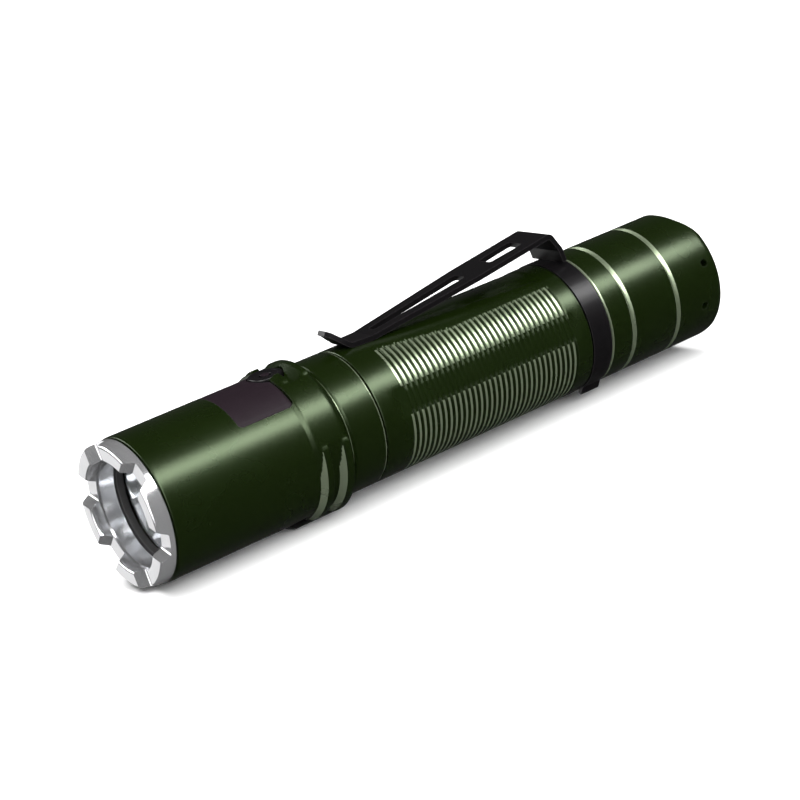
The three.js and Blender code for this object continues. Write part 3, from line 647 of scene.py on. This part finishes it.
# ---- grip -----------------------------------------------------------------------------------------
RINGS = 33
RINGS_FIRST, RINGS_LAST = 10.9, -28.0
RING_DEPTH = 0.42
GRIP_X = (-30.2, 14.6)
FLAT_DEPTH = 0.22
FLUTE_ANGLE = 77
FLUTE_R = 12.46
FLUTE_EDGES = (65, 89)
TUBE_BORE_R = 10.1
O_RING_SEAT_R = 10.3
SPIGOT_R = 11.4


def strip_edge(x):
    """Angle where the rings start beside the plain strip, which widens towards the tail."""
    return 25 + 10 * min(max((9.0 - x) / 14, 0), 1)


def strip_and_flutes(x, radius, angle):
    """Plain strip under the clip, with a shallow tapered flat along it, and the two scooped flutes."""
    if radius < TUBE_R - 0.7 or not GRIP_X[0] < x < GRIP_X[1]:
        return radius
    if RINGS_LAST - 0.3 < x < RINGS_FIRST + 0.3:
        strip = strip_edge(x)
        radius += (TUBE_R - radius) * (1 - rise(angle, strip - 0.8, strip + 0.8))
    flat = 17 + 0.49 * (-12.6 - x)
    if x < RINGS_FIRST:
        on_flat = 1 - rise(angle, flat - 0.8, flat + 0.8)
        radius -= FLAT_DEPTH * on_flat * rise(x, RINGS_LAST, RINGS_LAST + 1)
    ends = rise(x, -30.0, -28.6) * (1 - rise(x, 12.6, 14.2))
    if abs(angle - FLUTE_ANGLE) < 30:
        facet = FLUTE_R / math.cos(math.radians(angle - FLUTE_ANGLE))
        radius = min(radius, facet + (1 - ends) * 0.5)
    return radius


def battery_tube():
    """The tube with its grip: ring grooves, a plain strip under the clip and a flute on each side."""
    rear, front = span("battery_tube", 0)
    pitch = (RINGS_FIRST - RINGS_LAST) / RINGS
    seat_front = COLLAR_FRONT + 0.2
    outline = [
        (rear, TUBE_BORE_R), (rear, 11.0, 0.1), (-39.4, SPIGOT_R), (-39.4, O_RING_SEAT_R),
        (-37.7, O_RING_SEAT_R), (-37.7, SPIGOT_R), (-36.1, SPIGOT_R), (-36.1, 12.3), (seat_front, 12.3),
        (seat_front, TUBE_R, 0.15), (GRIP_X[0], TUBE_R), (-29.4, TUBE_R), (-28.7, TUBE_R),
    ]
    for i in range(RINGS):
        x = RINGS_LAST + i * pitch
        outline += [(x, TUBE_R), (x + 0.04, TUBE_R - 0.04), (x + 0.32, TUBE_R - RING_DEPTH),
                    (x + 0.40, TUBE_R - RING_DEPTH), (x + 0.68, TUBE_R - 0.04), (x + 0.72, TUBE_R)]
    outline += [(RINGS_FIRST, TUBE_R)]
    outline += [(11.8, TUBE_R), (12.6, TUBE_R), (13.4, TUBE_R), (14.2, TUBE_R), (15.0, TUBE_R),
                (HEAD_REAR - 0.3, TUBE_R, 0.3), (HEAD_REAR - 0.3, SPIGOT_R), (17.7, SPIGOT_R),
                (17.7, O_RING_SEAT_R), (19.4, O_RING_SEAT_R), (19.4, SPIGOT_R), (front, 10.9, 0.1),
                (front, TUBE_BORE_R)]
    body = turned(outline, 240, steps=3)
    reshape(body, strip_and_flutes)
    grip = finished(body, "battery_tube_grip", "battery_tube", GREEN, smooth_angle=30)

    # Ring crests painted lighter: bright-cut edges that also stand in for the highlight lines along the
    # rings. They are left off the plain strip and the flutes.
    def on_crest(x, radius, angle):
        in_flute = FLUTE_EDGES[0] < angle < FLUTE_EDGES[1]
        if not RINGS_LAST < x < RINGS_FIRST or angle < 26 or radius < 12.3 or in_flute:
            return False
        return (x - RINGS_LAST) % pitch > 0.7 and angle > strip_edge(x)

    paint_bright_cut_and_highlights(grip, on_crest)


# ---- pocket clip ----------------------------------------------------------------------------------
BLADE_SHEET = 0.95
COLLAR_SHEET = 0.8
COLLAR_R = 12.95
# Openings along the blade: start, end, half width at the start and half width at the end.
BLADE_SLOTS = [(11.3, 32.8, 0.9, 1.75), (39.0, 46.8, 1.8, 2.1)]


def blade_path():
    """Side profile of the blade's middle surface, from the lip to the foot of the neck, as (x, z)."""
    half = BLADE_SHEET / 2
    corners = [(17.2, 17.0, 0), (16.3, 16.4, 1.5), (13.3, 13.6, 1.6), (9.0, 13.5, 2.0),
               (-33.1, 19.5 - half, 1.4), (-35.1, 15.4, 1.0), (-35.55, 12.9, 0)]
    return rounded(corners, 8, closed=False)


def bent_strip(path, half_width, slots, sheet, place):
    """Bends a flat blank along a path. half_width(distance) is half the blank's width, slots holds the
    openings along its middle, sheet its thickness, and place(point, y) sets a point y to one side."""
    distances = [0.0]
    for a, b in zip(path, path[1:]):
        distances.append(distances[-1] + (b - a).length)
    stops = set(distances)
    for start, end, _, _ in slots:
        stops.update((start, end, start + 0.5, end - 0.5))
    stops.update(i * 1.0 for i in range(int(distances[-1])))
    stops = sorted(stops)
    stops = [s for i, s in enumerate(stops) if i == 0 or s - stops[i - 1] > 0.02]

    def point(distance):
        for i in range(len(path) - 1):
            if distance <= distances[i + 1] or i == len(path) - 2:
                t = (distance - distances[i]) / (distances[i + 1] - distances[i])
                return path[i].lerp(path[i + 1], t)

    def slot_half(distance):
        for start, end, first, second in slots:
            if start - 0.001 <= distance <= end + 0.001:
                wide = first + (second - first) * (distance - start) / (end - start)
                corner = min(distance - start, end - distance)
                return wide - (0.35 if corner < 0.01 else 0.0), True
        return half_width(distance) * 0.45, False

    bm = bmesh.new()
    rows = []
    for distance in stops:
        wide = half_width(distance)
        inner, _ = slot_half(distance)
        row = [-wide, -(wide + inner) / 2, -inner, 0, inner, (wide + inner) / 2, wide]
        rows.append([bm.verts.new(place(point(distance), y) * MM) for y in row])
    for i in range(len(rows) - 1):
        middle = (stops[i] + stops[i + 1]) / 2
        open_here = slot_half(middle)[1]
        for lane in range(6):
            if open_here and lane in (2, 3):
                continue
            bm.faces.new((rows[i][lane], rows[i][lane + 1], rows[i + 1][lane + 1], rows[i + 1][lane]))
    stray = [v for v in bm.verts if not v.link_faces]
    bmesh.ops.delete(bm, geom=stray, context="VERTS")
    bmesh.ops.solidify(bm, geom=bm.faces, thickness=sheet * MM)
    return bm


def pocket_clip():
    path = blade_path()

    def half_width(distance):
        if distance < 3.6:
            return 1.1 + distance / 3.6 * 1.3
        if distance < 10:
            return 2.4 + (distance - 3.6) / 6.4 * 0.7
        if distance < 34:
            return 3.1 + (distance - 10) / 24 * 1.6
        return 4.7

    blade = bent_strip(path, half_width, BLADE_SLOTS, BLADE_SHEET, lambda p, y: Vector((p.x, y, p.y)))
    blade.normal_update()
    arc = [Vector((math.radians(a), COLLAR_R)) for a in range(-150, 151, 3)]
    flare = [Vector((math.radians(153), 13.3)), Vector((math.radians(157), 13.9))]
    arc = [Vector((-p.x, p.y)) for p in reversed(flare)] + arc + flare
    around = [Vector((p.y * math.sin(p.x), p.y * math.cos(p.x))) for p in arc]
    middle = (COLLAR_REAR + COLLAR_FRONT) / 2
    half = (COLLAR_FRONT - COLLAR_REAR) / 2
    collar = bent_strip(around, lambda distance: half, [], COLLAR_SHEET,
                        lambda p, y: Vector((middle + y, p.x, p.y)))
    # The collar joins the blade as a second shell of the same piece.
    mesh = bpy.data.meshes.new("collar")
    collar.to_mesh(mesh)
    collar.free()
    blade.from_mesh(mesh)
    bpy.data.meshes.remove(mesh)
    bmesh.ops.recalc_face_normals(blade, faces=blade.faces)
    finished(blade, "pocket_clip_sheet", "pocket_clip", BLACK_STEEL, round_edge=0.2, edge_angle=50)


# ---- tailcap --------------------------------------------------------------------------------------
GROOVES_X = (-41.9, -53.2)
CUP_FLOOR_X = -60.5
CUP_R = 9.2
TAIL_BORE_R = 10.6
TAIL_MOUTH_R = 11.7
STEM_HOLE_R = 4.0
SCALLOP_R = 16.5
LANYARD_HOLES = ((-61.8, 71.5), (-60.1, 108.5))
LANYARD_HOLE_R = 0.8


def tailcap():
    outline = [(TAIL_FRONT, TUBE_R, 0.35)]
    for x in GROOVES_X:
        outline += [(x + 0.55, TUBE_R, 0.12), (x + 0.12, TUBE_R - 0.5, 0.1), (x - 0.12, TUBE_R - 0.5, 0.1),
                    (x - 0.55, TUBE_R, 0.12)]
    wall_x = CUP_FLOOR_X + 1.7
    outline += [(TAIL_TIP, TUBE_R, 1.6), (TAIL_TIP, STEM_HOLE_R), (wall_x, STEM_HOLE_R),
                (wall_x, TAIL_BORE_R), (-52.2, TAIL_BORE_R), (-52.2, 11.3), (-50.75, 11.3),
                (-50.75, TAIL_MOUTH_R), (TAIL_FRONT, TAIL_MOUTH_R)]
    cutters = [
        turned([(TAIL_TIP - 1, 0), (TAIL_TIP - 1, CUP_R), (CUP_FLOOR_X, CUP_R), (CUP_FLOOR_X, 0)],
               128, closed=False),
        upright(turned([(-15, 0), (-15, SCALLOP_R), (15, SCALLOP_R), (15, 0)], 256, closed=False),
                TAIL_TIP - 13.5),
    ]
    for x, angle in LANYARD_HOLES:
        for side in (-1, 1):
            drill = turned([(8, 0), (8, LANYARD_HOLE_R), (16, LANYARD_HOLE_R), (16, 0)], 32, closed=False)
            cutters.append(turn_about_axis(upright(drill, x), side * angle))
    shell = carved(turned(outline, 180), cutters)
    piece = finished(shell, "tailcap_shell", "tailcap_housing", GREEN, round_edge=0.2)

    # The front edge and the two grooves are painted lighter: bright-cut edges that also stand in for their
    # highlight lines.
    def bright(x, radius, angle):
        in_groove = any(abs(x - groove) < 0.5 for groove in GROOVES_X)
        return radius > 12.2 and (TAIL_FRONT - 0.3 < x or in_groove)

    paint_bright_cut_and_highlights(piece, bright)


def tail_switches():
    rear, front = span("main_switch_button", 0)
    boot = turned([(front, 0), (front, 5.8, 0.2), (front - 0.6, 5.8, 0.2), (front - 0.6, 4.8, 0.2),
                   (rear, 4.8, 1.1), (rear, 2.6, 0.3), (rear + 0.35, 2.2, 0.4), (rear + 0.35, 0)],
                  128, closed=False)
    bmesh.ops.translate(boot, verts=boot.verts, vec=(0, 0, MAIN_BUTTON_Z * MM))
    finished(boot, "main_switch_boot", "main_switch_button", RUBBER)
    finished(merged_copy("mode_switch_paddle"), "mode_switch_plate", "mode_switch_paddle", STEEL,
             round_edge=0.3)


def port_cover():
    finished(merged_copy("port_cover"), "port_cover_flap", "port_cover", RUBBER, round_edge=0.2,
             smooth_angle=30)


head_housing()
bezel()
optics()
side_switch()
battery_tube()
pocket_clip()
tailcap()
tail_switches()
port_cover()

# ---- finishes, by the record's material slots - ------------------------------------------------
CARRIED = {
    "circuit_board": BOARD, "copper": COPPER, "brass": BRASS, "nickel": NICKEL,
    "cell_wrap": CELL_WRAP, "phosphor": PHOSPHOR, "black_plastic": BLACK_PLASTIC,
    "white_plastic": WHITE_PLASTIC, "black_rubber": RUBBER, "anodised_green": GREEN,
    "polished_steel": STEEL, "black_steel": BLACK_STEEL, "mirror_coat": MIRROR, "lens_glass": GLASS,
}
for node_name, node_object in frame["nodes"].items():
    node_object.data.materials.clear()
    node_object.data.materials.append(CARRIED[slot_of_node(node_name)])


# ---- studio ---------------------------------------------------------------------------------------
# The floor isn't seen in reflections, and each lamp lights either matt surfaces or reflections, so
# that the polished and the dark surfaces can be lit apart from each other.
MIDDLE = (0, 0, 0.015)
AZIMUTH, ELEVATION, ROLL = math.radians(148.13), math.radians(17.3), math.radians(-13.32)
CAMERA_DISTANCE = 0.4519
FOCAL_LENGTH = 110.66


def studio_floor():
    bm = bmesh.new()
    bmesh.ops.create_grid(bm, x_segments=1, y_segments=1, size=4.0)
    floor = as_object(bm, "studio_floor")
    material, tree, shader = plain_material("pale floor")
    shader.inputs["Roughness"].default_value = 0.9
    shader.inputs["Specular IOR Level"].default_value = 0.1
    texture = use(tree, FINE_GRAIN, Grain_scale=500.0, Patch_scale=3.0)
    paint = mixed_colour(tree, texture["Patches"], (0.86, 0.86, 0.86), (0.90, 0.90, 0.90))
    tree.links.new(paint, shader.inputs["Base Color"])
    floor.data.materials.append(material)
    floor.visible_glossy = False


def soft_light(name, place, aim, size, power, seen_by):
    """A rectangular lamp that lights only matt surfaces ("matt") or only reflections ("gloss")."""
    lamp = bpy.data.lights.new(name, "AREA")
    lamp.shape = "RECTANGLE"
    lamp.size, lamp.size_y = size
    lamp.energy = power
    holder = bpy.data.objects.new(name, lamp)
    bpy.context.scene.collection.objects.link(holder)
    holder.location = place
    holder.rotation_mode = "QUATERNION"
    holder.rotation_quaternion = (Vector(aim) - Vector(place)).to_track_quat("-Z", "Y")
    holder.visible_camera = False
    holder.visible_diffuse = seen_by == "matt"
    holder.visible_glossy = seen_by == "gloss"


def camera():
    look_at = Vector((3.4, -1.9, AXIS_Z - 1.7)) * MM
    level_reach = math.cos(ELEVATION)
    back = Vector((math.sin(AZIMUTH) * level_reach, -math.cos(AZIMUTH) * level_reach, math.sin(ELEVATION)))
    level = Vector((0, 0, 1)).cross(back).normalized()
    upward = back.cross(level)
    right = level * math.cos(ROLL) + upward * math.sin(ROLL)
    top = upward * math.cos(ROLL) - level * math.sin(ROLL)
    lens = bpy.data.cameras.new("camera")
    lens.lens = FOCAL_LENGTH
    lens.sensor_width = 36.0
    lens.clip_start = 0.01
    lens.clip_end = 50.0
    holder = bpy.data.objects.new("camera", lens)
    bpy.context.scene.collection.objects.link(holder)
    holder.rotation_mode = "QUATERNION"
    holder.rotation_quaternion = Matrix((right, top, back)).transposed().to_quaternion()
    holder.location = look_at + back * CAMERA_DISTANCE
    bpy.context.scene.camera = holder


studio_floor()
soft_light("overhead", (0.0, 0.2, 1.6), (0, 0.2, 0), (3.2, 3.2), 115.0, seen_by="matt")
soft_light("long softbox", (-0.12, 0.41, 0.47), MIDDLE, (1.0, 0.19), 10.5, seen_by="gloss")
soft_light("front panel", (0.5, 0.27, 0.33), MIDDLE, (0.35, 0.3), 4.0, seen_by="gloss")
soft_light("far panel", (0.45, -0.45, 0.40), MIDDLE, (0.6, 0.25), 5.0, seen_by="gloss")
soft_light("beam card", (0.8, 0.15, 0.12), MIDDLE, (0.8, 0.5), 3.5, seen_by="gloss")
soft_light("low panel", (0.35, -0.55, -0.18), MIDDLE, (0.7, 0.35), 0.85, seen_by="gloss")
soft_light("floor fill", (0.0, 1.2, 0.6), (0, 0, 0), (2.0, 0.8), 26.0, seen_by="matt")
world = bpy.data.worlds.new("studio")
world.use_nodes = True
world.node_tree.nodes["Background"].inputs["Color"].default_value = (1, 1, 1, 1)
world.node_tree.nodes["Background"].inputs["Strength"].default_value = 0.05
bpy.context.scene.world = world
bpy.context.scene.view_settings.view_transform = "Standard"
camera()
